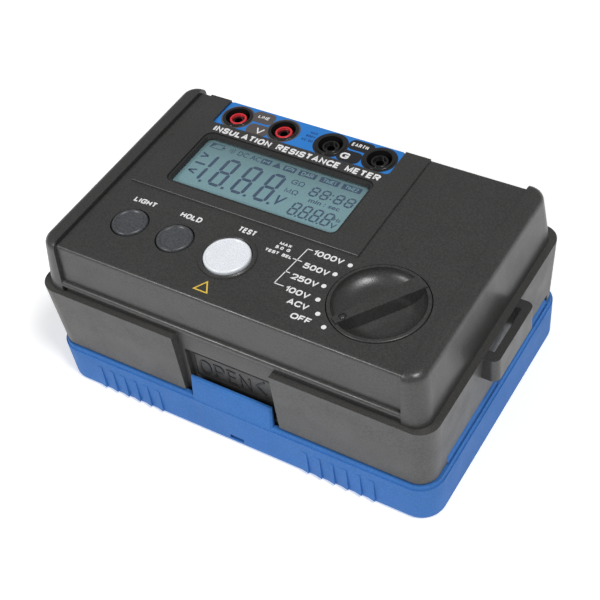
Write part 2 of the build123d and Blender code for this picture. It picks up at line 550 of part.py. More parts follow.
with BuildPart() as transformer_core:
    bar((-62, -30), (4, 34), (ON_BOARD + 3, 64))
    bar((-56, -51), (3, 35), (ON_BOARD + 8, 59), mode=Mode.SUBTRACT)
    bar((-41, -36), (3, 35), (ON_BOARD + 8, 59), mode=Mode.SUBTRACT)
keep(transformer_core, "transformer_core")

with BuildPart() as transformer_winding:
    for x in (-55.9, -40.9):
        bar((x, x + 4.8), (4.5, 33.5), (ON_BOARD + 8.1, 58.9))
keep(transformer_winding, "transformer_winding")

with BuildPart() as capacitors:
    rod([(-14, 12), (4, 12), (22, 12)], 8.0, ON_BOARD, 60.0)
    fillet(capacitors.faces().filter_by(lambda f: f.center().Z > 59).edges(), 0.8)
keep(capacitors, "capacitors")

with BuildPart() as processor_chips:
    bar((-20, -6), (-36, -22), (ON_BOARD, ON_BOARD + 1.6))
    bar((2, 12), (-34, -24), (ON_BOARD, ON_BOARD + 1.6))
    bar((-48, -41), (-30, -24), (ON_BOARD, ON_BOARD + 1.6))
keep(processor_chips, "processor_chips")

with BuildPart() as buzzer:
    rod([(-66, -34)], 7.0, ON_BOARD, 49.0)
    rod([(-66, -34)], 1.2, 47.5, 50, mode=Mode.SUBTRACT)
keep(buzzer, "buzzer")

FUSE_Y, FUSE_Z = -8.0, 47.0
with BuildPart() as fuse:
    rod_along_x(-8, 12, FUSE_Y, FUSE_Z, 2.4)
    rod_along_x(-8, -3, FUSE_Y, FUSE_Z, 2.6)
    rod_along_x(7, 12, FUSE_Y, FUSE_Z, 2.6)
keep(fuse, "fuse")

with BuildPart() as fuse_clips:
    for x in (-7.0, 8.0):
        bar((x, x + 3), (FUSE_Y - 3.6, FUSE_Y + 3.6), (ON_BOARD, 48.6))
        rod_along_x(x - 1, x + 4, FUSE_Y, FUSE_Z, 2.65, mode=Mode.SUBTRACT)
        bar((x - 1, x + 4), (FUSE_Y - 2.2, FUSE_Y + 2.2), (FUSE_Z, 49), mode=Mode.SUBTRACT)
keep(fuse_clips, "fuse_clips")

LINK_X, LINK_Y = -72.0, 2.0
with BuildPart() as link_sockets:
    bar((LINK_X - 3, LINK_X + 3), (LINK_Y - 15, LINK_Y + 15), (ON_BOARD, 48.0))
    bar((LINK_X - 3, LINK_X + 3), (LINK_Y - 15, LINK_Y + 15), (73.6, BOARD_DISPLAY - 0.05))
keep(link_sockets, "link_sockets")

with BuildPart() as ribbon_cable:
    bar((LINK_X - 0.5, LINK_X + 0.5), (LINK_Y - 12.7, LINK_Y + 12.7), (48.05, 73.55))
keep(ribbon_cable, "ribbon_cable")

# ---------------------------------------------------------------- batteries
INNER = (TRAY_HALF[0] - TRAY_WALL, TRAY_HALF[1] - TRAY_WALL)
with BuildPart() as battery_tray:
    bar((-TRAY_HALF[0], TRAY_HALF[0]), (-TRAY_HALF[1], TRAY_HALF[1]), (CASE_FLOOR + 0.1, TRAY_TOP))
    bar((-INNER[0], INNER[0]), (-INNER[1], INNER[1]), (CASE_FLOOR, TRAY_TOP - TRAY_WALL), mode=Mode.SUBTRACT)
keep(battery_tray, "battery_tray")

CELL_GAP = 0.4             # between the two cells of a row
CELL_X = [-CELL_LENGTH - CELL_GAP / 2 - 1.2, CELL_GAP / 2 - 1.2]
with BuildPart() as cells:
    for y in CELL_ROWS:
        for x in CELL_X:
            rod_along_x(x + 1.6, x + CELL_LENGTH, y, CELL_Z, CELL_R)
            rod_along_x(x, x + 1.7, y, CELL_Z, 3.6)
keep(cells, "cells")

with BuildPart() as cell_plates:
    for y in CELL_ROWS:
        for x in (-INNER[0] + 0.1, INNER[0] - 0.6):
            bar((x, x + 0.5), (y - 8, y + 8), (CELL_Z - 8, CELL_Z + 8))
        rod_along_x(-INNER[0] + 0.5, CELL_X[0] - 0.05, y, CELL_Z, 3.0)
keep(cell_plates, "cell_plates")

with BuildPart() as cell_springs:
    start, stop = CELL_X[1] + CELL_LENGTH + 0.45, INNER[0] - 1.1
    for y in CELL_ROWS:
        with BuildLine() as coil:
            Helix(pitch=(stop - start) / 2.5, height=stop - start, radius=5.0, center=(start, y, CELL_Z),
                  direction=(1, 0, 0))
        with BuildSketch(Plane(coil.line @ 0, z_dir=coil.line % 0)) as wire:
            Circle(0.4)
        sweep(path=coil.line, is_frenet=True)
keep(cell_springs, "cell_springs")

with BuildPart() as battery_door:
    bar((-DOOR_HALF[0], DOOR_HALF[0]), (-DOOR_HALF[1], DOOR_HALF[1]), (CASE_BOTTOM + 0.05, DOOR_INSIDE))
    plug = [half - 0.4 for half in BAY_HALF]
    bar((-plug[0], plug[0]), (-plug[1], plug[1]), (DOOR_INSIDE - 0.1, 6.0))
    rod(DOOR_SCREWS, 1.6, CASE_BOTTOM, DOOR_INSIDE + 0.1, mode=Mode.SUBTRACT)
    rod(DOOR_SCREWS, 3.0, CASE_BOTTOM, 4.2, mode=Mode.SUBTRACT)
    for step in range(7):
        bar((-20, 20), (-16.0 + 5 * step, -14.0 + 5 * step), (CASE_BOTTOM, 4.1), mode=Mode.SUBTRACT)
keep(battery_door, "battery_door")

with BuildPart() as door_screws:
    rod(DOOR_SCREWS, 2.8, 3.7, 4.15)
    rod(DOOR_SCREWS, 1.2, 4.1, 12.0)
keep(door_screws, "door_screws")

with BuildPart() as battery_leads:
    rod([(58.4, -8), (58.4, 8)], 0.9, 12.0, BOARD_MAIN - 0.05)
keep(battery_leads, "battery_leads")

# ---------------------------------------------------------------- fasteners and feet of the case
with BuildPart() as case_screws:
    rod(CASE_SCREWS, 3.0, BOSS_SEAT - 2.6, BOSS_SEAT - 0.05)
    rod(CASE_SCREWS, 1.5, BOSS_SEAT - 0.1, 73.0)
    for x, y in CASE_SCREWS:
        bar((x - 2.4, x + 2.4), (y - 0.4, y + 0.4), (BOSS_SEAT - 3, BOSS_SEAT - 1.4), mode=Mode.SUBTRACT)
        bar((x - 0.4, x + 0.4), (y - 2.4, y + 2.4), (BOSS_SEAT - 3, BOSS_SEAT - 1.4), mode=Mode.SUBTRACT)
keep(case_screws, "case_screws")

with BuildPart() as case_feet:
    rod(FEET, 5.0, COVER_FLOOR + 0.05, CASE_BOTTOM - 0.01)
keep(case_feet, "case_feet")
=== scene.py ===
import math

import bmesh
import bpy
from mathutils import Matrix, Vector


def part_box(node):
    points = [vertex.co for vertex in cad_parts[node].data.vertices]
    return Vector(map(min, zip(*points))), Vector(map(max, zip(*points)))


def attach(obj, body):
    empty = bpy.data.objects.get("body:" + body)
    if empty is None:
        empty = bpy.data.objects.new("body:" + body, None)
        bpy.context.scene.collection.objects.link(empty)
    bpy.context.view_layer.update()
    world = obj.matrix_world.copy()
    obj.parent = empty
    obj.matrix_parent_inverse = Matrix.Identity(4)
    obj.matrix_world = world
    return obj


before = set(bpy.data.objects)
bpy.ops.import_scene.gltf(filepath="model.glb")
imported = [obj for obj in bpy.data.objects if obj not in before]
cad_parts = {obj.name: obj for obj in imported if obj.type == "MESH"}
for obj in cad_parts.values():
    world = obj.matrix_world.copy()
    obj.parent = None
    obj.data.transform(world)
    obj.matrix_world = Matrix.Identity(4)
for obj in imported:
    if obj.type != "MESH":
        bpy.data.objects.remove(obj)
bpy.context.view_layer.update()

MM = 0.001
scene = bpy.context.scene


# ---------------------------------------------------------------- places, in millimetres, from the frame
def box_mm(node):
    low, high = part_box(node)
    return low / MM, high / MM


def centre_mm(node):
    low, high = box_mm(node)
    return (low + high) / 2


RAIL_TOP = box_mm("upper_case")[1].z
PANEL = RAIL_TOP - 1.7          # the panel and the raised plateau lie below the rails
PLATEAU = RAIL_TOP - 0.6
PRINT = 0.06                    # thickness of printed ink
DISPLAY = centre_mm("lcd_glass")
GLASS_TOP = box_mm("lcd_glass")[1].z
LABEL_TOP = box_mm("terminal_label")[1].z
SOCKETS = [centre_mm(n) for n in ("line_socket", "volt_socket", "guard_socket", "earth_socket")]
KEYS = [centre_mm("light_button"), centre_mm("hold_button")]
TEST = centre_mm("test_button")
KNOB = centre_mm("range_knob")
KNOB_REST = 237.0               # direction of the pointer at rest, degrees from +X
STOPS = [KNOB_REST - 18.0 * i for i in range(6)]
POCKET_WALL_Y = -61.2           # back of the pocket in the front recess


# ---------------------------------------------------------------- shader helpers
def new_material(name):
    """A material with its shader, and its node tree and object coordinates."""
    material = bpy.data.materials.new(name)
    material.use_nodes = True
    tree = material.node_tree
    shader = tree.nodes["Principled BSDF"]
    coordinates = tree.nodes.new("ShaderNodeTexCoord").outputs["Object"]
    return material, tree, shader, coordinates


def noise(tree, coordinates, size, detail=2.0, stretch=(1, 1, 1)):
    """A noise pattern whose features are about size metres across."""
    mapping = tree.nodes.new("ShaderNodeMapping")
    mapping.inputs["Scale"].default_value = stretch
    tree.links.new(coordinates, mapping.inputs["Vector"])
    pattern = tree.nodes.new("ShaderNodeTexNoise")
    pattern.inputs["Scale"].default_value = 1 / size
    pattern.inputs["Detail"].default_value = detail
    tree.links.new(mapping.outputs["Vector"], pattern.inputs["Vector"])
    return pattern.outputs["Fac"]


def spread(tree, value, low, high, start=0.3, end=0.7):
    """Maps a pattern to the range from low to high."""
    node = tree.nodes.new("ShaderNodeMapRange")
    node.inputs["From Min"].default_value = start
    node.inputs["From Max"].default_value = end
    node.inputs["To Min"].default_value = low
    node.inputs["To Max"].default_value = high
    tree.links.new(value, node.inputs["Value"])
    return node.outputs["Result"]


def tinted(tree, value, first, second):
    """A colour that runs from first to second as the pattern rises."""
    node = tree.nodes.new("ShaderNodeMix")
    node.data_type = "RGBA"
    node.inputs["A"].default_value = (*first, 1)
    node.inputs["B"].default_value = (*second, 1)
    tree.links.new(value, node.inputs["Factor"])
    return node.outputs["Result"]


def bumped(tree, shader, heights):
    """Adds (pattern, depth in metres) pairs as surface relief."""
    normal = None
    for value, depth in heights:
        bump = tree.nodes.new("ShaderNodeBump")
        bump.inputs["Distance"].default_value = depth
        tree.links.new(value, bump.inputs["Height"])
        if normal is not None:
            tree.links.new(normal, bump.inputs["Normal"])
        normal = bump.outputs["Normal"]
    tree.links.new(normal, shader.inputs["Normal"])


def scaled(colour, factor):
    return tuple(channel * factor for channel in colour)


# ---------------------------------------------------------------- materials
def sparked_plastic(name, colour, roughness, grain=0.00045, depth=0.00002, specular=0.5, contrast=0.28):
    """Moulded plastic with a spark-eroded grain, faint mottling and rubbed patches."""
    material, tree, shader, coordinates = new_material(name)
    mottle = spread(tree, noise(tree, coordinates, 0.03, 4), 0, 1)
    speckle = spread(tree, noise(tree, coordinates, grain, 1), 0, 1)
    base = tinted(tree, mottle, scaled(colour, 0.93), scaled(colour, 1.06))
    grainy = tree.nodes.new("ShaderNodeMix")
    grainy.data_type = "RGBA"
    grainy.blend_type = "MULTIPLY"
    grainy.inputs["Factor"].default_value = 1.0
    tree.links.new(base, grainy.inputs["A"])
    tree.links.new(tinted(tree, speckle, [1 - contrast] * 3, [1 + contrast] * 3), grainy.inputs["B"])
    tree.links.new(grainy.outputs["Result"], shader.inputs["Base Color"])
    rubbed = spread(tree, noise(tree, coordinates, 0.012, 5), roughness - 0.05, roughness + 0.06)
    tree.links.new(rubbed, shader.inputs["Roughness"])
    shader.inputs["Specular IOR Level"].default_value = specular
    waves = noise(tree, coordinates, 0.02)
    bumped(tree, shader, [(noise(tree, coordinates, grain, 2), depth), (waves, 0.00006)])
    return material


def smooth_plastic(name, colour, roughness, coat=0.0):
    """Polished moulded plastic: faint flow marks, fine scratches in the gloss."""
    material, tree, shader, coordinates = new_material(name)
    flow = spread(tree, noise(tree, coordinates, 0.008, 3, (1, 1, 3)), 0, 1)
    tree.links.new(tinted(tree, flow, scaled(colour, 0.94), scaled(colour, 1.05)), shader.inputs["Base Color"])
    hairlines = noise(tree, coordinates, 0.0006, 3, (1, 0.08, 1))
    tree.links.new(spread(tree, hairlines, roughness * 0.8, roughness * 1.25), shader.inputs["Roughness"])
    shader.inputs["Coat Weight"].default_value = coat
    shader.inputs["Coat Roughness"].default_value = 0.12
    bumped(tree, shader, [(noise(tree, coordinates, 0.004, 2), 0.00002), (hairlines, 0.000003)])
    return material


def lit_button(name, colour):
    """Translucent white button cap with a soft bloom under the surface."""
    material, tree, shader, coordinates = new_material(name)
    haze = spread(tree, noise(tree, coordinates, 0.005, 3), 0, 1)
    tree.links.new(tinted(tree, haze, scaled(colour, 0.97), scaled(colour, 1.02)), shader.inputs["Base Color"])
    tree.links.new(spread(tree, noise(tree, coordinates, 0.0009, 3), 0.26, 0.36), shader.inputs["Roughness"])
    shader.inputs["Subsurface Weight"].default_value = 0.35
    shader.inputs["Subsurface Radius"].default_value = (0.002, 0.002, 0.002)
    shader.inputs["Subsurface Scale"].default_value = 1.0
    shader.inputs["Coat Weight"].default_value = 0.3
    shader.inputs["Coat Roughness"].default_value = 0.15
    bumped(tree, shader, [(noise(tree, coordinates, 0.0008, 2), 0.000006)])
    return material


def clear_lens(name):
    """Thin clear window: mostly see-through, with a faint gloss and dust."""
    material, tree, shader, coordinates = new_material(name)
    dust = spread(tree, noise(tree, coordinates, 0.0035, 5), 0.02, 0.06)
    tree.links.new(dust, shader.inputs["Alpha"])
    tree.links.new(tinted(tree, dust, (0.35, 0.40, 0.42), (0.45, 0.50, 0.52)), shader.inputs["Base Color"])
    tree.links.new(spread(tree, noise(tree, coordinates, 0.001), 0.05, 0.12), shader.inputs["Roughness"])
    bumped(tree, shader, [(noise(tree, coordinates, 0.01), 0.00001)])
    return material


def display_glass(name, colour):
    """Reflective display glass: blue grey, darker towards the back edge, with a fine cell pattern."""
    material, tree, shader, coordinates = new_material(name)
    split = tree.nodes.new("ShaderNodeSeparateXYZ")
    tree.links.new(coordinates, split.inputs["Vector"])
    low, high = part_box("lcd_glass")
    towards_back = spread(tree, split.outputs["Y"], 0, 1, low.y, high.y)
    curve = tree.nodes.new("ShaderNodeMath")
    curve.operation = "POWER"
    curve.inputs[1].default_value = 3.0
    tree.links.new(towards_back, curve.inputs[0])
    base = tinted(tree, curve.outputs["Value"], colour, scaled(colour, 0.55))
    cells = tree.nodes.new("ShaderNodeMix")
    cells.data_type = "RGBA"
    cells.blend_type = "MULTIPLY"
    cells.inputs["Factor"].default_value = 1.0
    tree.links.new(base, cells.inputs["A"])
    fine = spread(tree, noise(tree, coordinates, 0.0004, 2), 0, 1)
    tree.links.new(tinted(tree, fine, (0.94, 0.94, 0.94), (1.05, 1.05, 1.05)), cells.inputs["B"])
    tree.links.new(cells.outputs["Result"], shader.inputs["Base Color"])
    tree.links.new(spread(tree, fine, 0.35, 0.5, 0, 1), shader.inputs["Roughness"])
    bumped(tree, shader, [(fine, 0.000003)])
    return material


def metal(name, colour, roughness, grain=(1, 1, 12)):
    """Turned or plated metal with a fine drawn grain and slight tarnish."""
    material, tree, shader, coordinates = new_material(name)
    tarnish = spread(tree, noise(tree, coordinates, 0.004, 4), 0, 1)
    tree.links.new(tinted(tree, tarnish, scaled(colour, 0.75), colour), shader.inputs["Base Color"])
    drawn = noise(tree, coordinates, 0.0012, 2, grain)
    tree.links.new(spread(tree, drawn, roughness * 0.7, roughness * 1.4), shader.inputs["Roughness"])
    shader.inputs["Metallic"].default_value = 1.0
    bumped(tree, shader, [(drawn, 0.000008)])
    return material


def rubber(name, colour):
    """Matte silicone with a powdery bloom."""
    material, tree, shader, coordinates = new_material(name)
    bloom = spread(tree, noise(tree, coordinates, 0.003, 5), 0, 1)
    tree.links.new(tinted(tree, bloom, colour, scaled(colour, 1.7)), shader.inputs["Base Color"])
    tree.links.new(spread(tree, bloom, 0.75, 0.9, 0, 1), shader.inputs["Roughness"])
    bumped(tree, shader, [(noise(tree, coordinates, 0.0006), 0.00002)])
    return material


def circuit_board(name, colour):
    """Green solder resist over a weave of glass, with brighter copper tracks under it."""
    material, tree, shader, coordinates = new_material(name)
    tracks = tree.nodes.new("ShaderNodeTexBrick")
    tracks.inputs["Scale"].default_value = 120.0
    tracks.inputs["Mortar Size"].default_value = 0.06
    tracks.inputs["Color1"].default_value = (*colour, 1)
    tracks.inputs["Color2"].default_value = (*scaled(colour, 0.8), 1)
    tracks.inputs["Mortar"].default_value = (*scaled(colour, 1.9), 1)
    tree.links.new(coordinates, tracks.inputs["Vector"])
    tree.links.new(tracks.outputs["Color"], shader.inputs["Base Color"])
    weave = noise(tree, coordinates, 0.0008, 2)
    tree.links.new(spread(tree, weave, 0.3, 0.45), shader.inputs["Roughness"])
    bumped(tree, shader, [(tracks.outputs["Fac"], 0.00003), (weave, 0.00001)])
    return material


def ink(name, colour, roughness=0.5):
    """Screen-printed ink: slightly uneven cover and a fine raised edge."""
    material, tree, shader, coordinates = new_material(name)
    cover = spread(tree, noise(tree, coordinates, 0.0007, 3), 0, 1)
    tree.links.new(tinted(tree, cover, scaled(colour, 0.88), scaled(colour, 1.03)), shader.inputs["Base Color"])
    tree.links.new(spread(tree, cover, roughness - 0.05, roughness + 0.08, 0, 1), shader.inputs["Roughness"])
    bumped(tree, shader, [(noise(tree, coordinates, 0.0004), 0.000006)])
    return material


def tube_glass(name):
    """Clear glass tube between metal caps."""
    material, tree, shader, coordinates = new_material(name)
    streaks = spread(tree, noise(tree, coordinates, 0.002, 3, (0.2, 1, 1)), 0.3, 0.45)
    tree.links.new(streaks, shader.inputs["Alpha"])
    tree.links.new(tinted(tree, streaks, (0.8, 0.86, 0.86), (0.9, 0.93, 0.93)), shader.inputs["Base Color"])
    tree.links.new(spread(tree, noise(tree, coordinates, 0.001), 0.04, 0.1), shader.inputs["Roughness"])
    bumped(tree, shader, [(noise(tree, coordinates, 0.002), 0.00001)])
    return material


FINISHES = {
    "case_upper": sparked_plastic("case_upper_dark", (0.036, 0.036, 0.035), 0.33, 0.0008, 0.00005, 0.6),
    "case_lower": sparked_plastic("case_lower_grey", (0.050, 0.049, 0.047), 0.42, 0.0008, 0.00004),
    "cover_blue": sparked_plastic("cover_blue_grain", (0.038, 0.155, 0.445), 0.6, grain=0.0008, depth=0.00002,
                                  specular=0.2, contrast=0.1),
    "key_grey": sparked_plastic("key_grey_satin", (0.062, 0.066, 0.072), 0.36, grain=0.0009, depth=0.000006),
    "button_white": lit_button("button_white_cap", (0.82, 0.85, 0.90)),
    "bezel_black": smooth_plastic("bezel_black_satin", (0.022, 0.022, 0.022), 0.35),
    "lens_clear": clear_lens("lens_clear_window"),
    "lcd_grey": display_glass("lcd_grey_glass", (0.19, 0.34, 0.375)),
    "label_blue": smooth_plastic("label_blue_film", (0.018, 0.20, 0.62), 0.38, coat=0.2),
    "socket_black": smooth_plastic("socket_black_gloss", (0.012, 0.012, 0.012), 0.22),
    "sleeve_red": smooth_plastic("sleeve_red_gloss", (0.72, 0.035, 0.045), 0.25),
    # socket contacts: nickel plating darkened far below real nickel as painted shade for the deep socket bore
    "contact_nickel": metal("contact_nickel_painted_shade", (0.12, 0.12, 0.125), 0.3),
    "brass_contact": metal("brass_contact_turned", (0.78, 0.60, 0.30), 0.25),
    "board_green": circuit_board("board_green_resist", (0.02, 0.16, 0.07)),
    "steel_zinc": metal("steel_zinc_plate", (0.68, 0.68, 0.70), 0.3),
    "spring_steel": metal("spring_steel_wire", (0.55, 0.55, 0.57), 0.28, (1, 1, 4)),
    "rubber_black": rubber("rubber_black_matte", (0.022, 0.022, 0.022)),
    "nylon_white": smooth_plastic("nylon_white_moulded", (0.70, 0.70, 0.66), 0.5),
    "ferrite": sparked_plastic("ferrite_sintered", (0.05, 0.05, 0.055), 0.6, grain=0.0003),
    "winding_tape": smooth_plastic("winding_tape_yellow", (0.70, 0.48, 0.06), 0.3),
    "can_dark": smooth_plastic("can_dark_sleeve", (0.03, 0.04, 0.10), 0.3),
    "chip_black": sparked_plastic("chip_black_resin", (0.018, 0.018, 0.018), 0.5, grain=0.0002),
    "fuse_glass": tube_glass("fuse_glass_tube"),
    "cell_jacket": smooth_plastic("cell_jacket_print", (0.06, 0.06, 0.07), 0.25, coat=0.3),
    "copper_lead": smooth_plastic("copper_lead_sleeve", (0.5, 0.03, 0.025), 0.4),
}
WHITE_INK = ink("white_ink", (0.85, 0.85, 0.85))
YELLOW_INK = ink("yellow_ink", (0.80, 0.55, 0.07))
TAG_GREY = ink("tag_grey_ink", (0.10, 0.085, 0.085))
TAG_DARK = ink("tag_dark_ink", (0.014, 0.014, 0.016))
TAG_BLUE = ink("tag_blue_ink", (0.01, 0.06, 0.22))
SEGMENT_INK = ink("segment_ink", (0.035, 0.07, 0.13), 0.4)
SEGMENT_GAP = ink("segment_gap", (0.20, 0.36, 0.39), 0.4)
# near-black colour of the pocket word is painted shade standing for the shadow inside engraved lines
WORD_PAINTED_SHADE = sparked_plastic("pocket_word_painted_shade", (0.018, 0.018, 0.018), 0.5)

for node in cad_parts.values():
    for place in node.material_slots:
        place.material = FINISHES[place.material.name]


# ---------------------------------------------------------------- shape helpers
def circle(x, y, radius, steps=48):
    return [(x + radius * math.cos(2 * math.pi * i / steps), y + radius * math.sin(2 * math.pi * i / steps))
            for i in range(steps)]


def rounded(x_low, y_low, x_high, y_high, radius, steps=8):
    """Outline of a rectangle with round corners."""
    corners = [(x_high, y_low, -90), (x_high, y_high, 0), (x_low, y_high, 90), (x_low, y_low, 180)]
    points = []
    for x, y, start in corners:
        centre_x = x - radius if x == x_high else x + radius
        centre_y = y - radius if y == y_high else y + radius
        for i in range(steps + 1):
            angle = math.radians(start + 90 * i / steps)
            points.append((centre_x + radius * math.cos(angle), centre_y + radius * math.sin(angle)))
    return points


def slab(bm, outline, low, high):
    """A flat slab with an anticlockwise outline of (x, y) points, between two heights."""
    bottom = [bm.verts.new((x * MM, y * MM, low * MM)) for x, y in outline]
    top = [bm.verts.new((x * MM, y * MM, high * MM)) for x, y in outline]
    bm.faces.new(bottom[::-1])
    bm.faces.new(top)
    for i in range(len(outline)):
        j = (i + 1) % len(outline)
        bm.faces.new((bottom[i], bottom[j], top[j], top[i]))


def frame_slab(bm, outer, inner, low, high):
    """A flat frame between two outlines with the same number of points."""
    rows = [[bm.verts.new((x * MM, y * MM, z * MM)) for x, y in line]
            for line, z in ((outer, low), (outer, high), (inner, high), (inner, low))]
    for row, following in zip(rows, rows[1:] + rows[:1]):
        for i in range(len(outer)):
            j = (i + 1) % len(outer)
            bm.faces.new((row[i], row[j], following[j], following[i]))


def stroke(bm, start, end, width, low, high):
    """A straight line of ink."""
    start, end = Vector(start), Vector(end)
    side = (end - start).normalized().orthogonal() * width / 2
    corners = [start - side, start + side, end + side, end - side]
    turn = (corners[1] - corners[0]).cross(corners[2] - corners[1])
    slab(bm, [tuple(c) for c in (corners if turn > 0 else corners[::-1])], low, high)


def word(bm, text, box, low, high, weight=0.02, lean=0.0):
    """Lettering from the built-in font, fitted to a box of (x low, y low, x high, y high)."""
    curve = bpy.data.curves.new("word", "FONT")
    curve.body = text
    curve.offset = weight
    curve.extrude = 0.5
    curve.shear = lean
    curve.resolution_u = 3
    carrier = bpy.data.objects.new("word", curve)
    scene.collection.objects.link(carrier)
    bpy.context.view_layer.update()
    mesh = bpy.data.meshes.new_from_object(carrier)
    bpy.data.objects.remove(carrier)
    xs = [v.co.x for v in mesh.vertices]
    ys = [v.co.y for v in mesh.vertices]
    x_scale = (box[2] - box[0]) / (max(xs) - min(xs))
    y_scale = (box[3] - box[1]) / (max(ys) - min(ys))
    for v in mesh.vertices:
        x = box[0] + (v.co.x - min(xs)) * x_scale
        y = box[1] + (v.co.y - min(ys)) * y_scale
        v.co = (x * MM, y * MM, (high if v.co.z > 0 else low) * MM)
    bm.from_mesh(mesh)
    bpy.data.meshes.remove(mesh)


# Plain sign lettering. A letter has a width and its pen strokes; a point is (x, y) or (x, y, corner radius),
# from 0 to 1 over the letter's box, and "loop" closes a stroke.
R = 0.42
ROUND = [(0, 0, R), (0, 1, R), (1, 1, R), (1, 0, R), "loop"]
LETTERS = {
    "A": (1.1, [(0, 0), (0.5, 1), (1, 0)], [(0.17, 0.3), (0.83, 0.3)]),
    "C": (1.05, [(1, 0.7), (1, 1, R), (0, 1, R), (0, 0, R), (1, 0, R), (1, 0.3)]),
    "D": (1.0, [(0, 0), (0, 1), (1, 1, R), (1, 0, R), "loop"]),
    "E": (0.86, [(1, 1), (0, 1), (0, 0), (1, 0)], [(0, 0.52), (0.9, 0.52)]),
    "F": (0.82, [(1, 1), (0, 1), (0, 0)], [(0, 0.5), (0.85, 0.5)]),
    "G": (1.1, [(1, 0.74), (1, 1, R), (0, 1, R), (0, 0, R), (1, 0, R), (1, 0.46), (0.55, 0.46)]),
    "H": (0.98, [(0, 0), (0, 1)], [(1, 0), (1, 1)], [(0, 0.52), (1, 0.52)]),
    "I": (0.0, [(0, 0), (0, 1)]),
    "L": (0.82, [(0, 1), (0, 0), (1, 0)]),
    "M": (1.2, [(0, 0), (0, 1), (0.5, 0.1), (1, 1), (1, 0)]),
    "N": (1.0, [(0, 0), (0, 1), (1, 0), (1, 1)]),
    "O": (1.12, ROUND),
    "P": (0.95, [(0, 0), (0, 1), (1, 1, 0.26), (1, 0.45, 0.26), (0, 0.45)]),
    "R": (1.0, [(0, 0), (0, 1), (1, 1, 0.26), (1, 0.47, 0.26), (0, 0.47)], [(0.5, 0.47), (1, 0)]),
    "S": (0.98, [(0.97, 0.74), (0.97, 1, 0.24), (0.03, 1, 0.24), (0.03, 0.51, 0.24), (1, 0.51, 0.24),
                 (1, 0, 0.24), (0, 0, 0.24), (0, 0.26)]),
    "T": (0.95, [(0, 1), (1, 1)], [(0.5, 0), (0.5, 1)]),
    "U": (1.0, [(0, 1), (0, 0, R), (1, 0, R), (1, 1)]),
    "V": (1.05, [(0, 1), (0.5, 0), (1, 1)]),
    "X": (1.0, [(0, 0), (1, 1)], [(0, 1), (1, 0)]),
    "0": (0.95, ROUND),
    "1": (0.42, [(0, 0.72), (1, 1), (1, 0)]),
    "2": (0.95, [(0, 0.72), (0, 1, 0.3), (1, 1, 0.3), (1, 0.55, 0.2), (0, 0), (1, 0)]),
    "5": (0.95, [(0.95, 1), (0.08, 1), (0, 0.46)],
          [(0, 0.6), (1, 0.62, 0.28), (1, 0, 0.28), (0, 0, 0.28), (0, 0.24)]),
    "6": (0.95, [(1, 0.78), (1, 1, 0.3), (0, 1, 0.4), (0, 0, 0.35), (1, 0, 0.28), (1, 0.58, 0.28),
                 (0, 0.58, 0.28)]),
    ".": (0.0, [(0, 0), (0, 0.03)]),
    " ": (0.55,),
}


def rounded_path(points, loop, steps=5):
    """Points in millimetres, with each corner that has a radius turned into a smooth bend."""
    path = []
    last = len(points) - 1
    for i, (x, y, radius) in enumerate(points):
        here = Vector((x, y))
        if radius == 0 or (not loop and i in (0, last)):
            path.append(here)
            continue
        before = Vector(points[i - 1][:2])
        after = Vector(points[(i + 1) % len(points)][:2])
        start = here + (before - here).normalized() * min(radius, (before - here).length / 2)
        end = here + (after - here).normalized() * min(radius, (after - here).length / 2)
        for step in range(steps + 1):
            t = step / steps
            path.append(start * (1 - t) ** 2 + here * 2 * t * (1 - t) + end * t ** 2)
    tidy = [path[0]]
    for point in path[1:]:
        if (point - tidy[-1]).length > 1e-4:
            tidy.append(point)
    if loop and (tidy[0] - tidy[-1]).length < 1e-4:
        tidy.pop()
    return tidy


def pen_stroke(bm, path, loop, thick, low, high):
    """A band of even thickness along a path, with mitred corners."""
    sides = []
    count = len(path)
    for i in range(count):
        before = path[i] - path[i - 1] if i or loop else path[1] - path[0]
        after = path[(i + 1) % count] - path[i] if i < count - 1 or loop else path[-1] - path[-2]
        one, two = before.normalized(), after.normalized()
        normal = Vector((-one.y - two.y, one.x + two.x)).normalized()
        reach = thick / 2 / max(normal.dot(Vector((-one.y, one.x))), 0.55)
        sides.append((path[i] + normal * reach, path[i] - normal * reach))
    left = [tuple(a) for a, b in sides]
    right = [tuple(b) for a, b in sides]
    if loop:
        frame_slab(bm, left, right, low, high)
    else:
        slab(bm, right + left[::-1], low, high)


def lettering(bm, text, box, thick, low, high, gap=0.45):
    """A line of sign lettering fitted to a box of (x low, y low, x high, y high)."""
    space = thick * gap
    units = sum(LETTERS[c][0] for c in text)
    unit = (box[2] - box[0] - thick * len(text) - space * (len(text) - 1)) / units
    tall = box[3] - box[1]
    x = box[0]
    for c in text:
        width = LETTERS[c][0] * unit
        for layer, pen in enumerate(LETTERS[c][1:]):
            loop = pen[-1] == "loop"
            points = [(x + thick / 2 + p[0] * width, box[1] + thick / 2 + p[1] * (tall - thick),
                       p[2] * tall if len(p) > 2 else 0) for p in pen if p != "loop"]
            pen_stroke(bm, rounded_path(points, loop), loop, thick, low, high + 0.004 * layer)
        x += width + thick + space


def piece(bm, name, material, body="tester"):
    """Turns the mesh into a piece that rides on a body."""
    bmesh.ops.remove_doubles(bm, verts=bm.verts, dist=1e-7)
    bmesh.ops.recalc_face_normals(bm, faces=bm.faces)
    mesh = bpy.data.meshes.new(name)
    bm.to_mesh(mesh)
    bm.free()
    mesh.materials.append(material)
    made = bpy.data.objects.new(name, mesh)
    scene.collection.objects.link(made)
    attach(made, body)


# ---------------------------------------------------------------- printing on the panel
def around(centre, x_low, y_low, x_high, y_high):
    """A box given by its distances from a centre."""
    return (centre.x + x_low, centre.y + y_low, centre.x + x_high, centre.y + y_high)


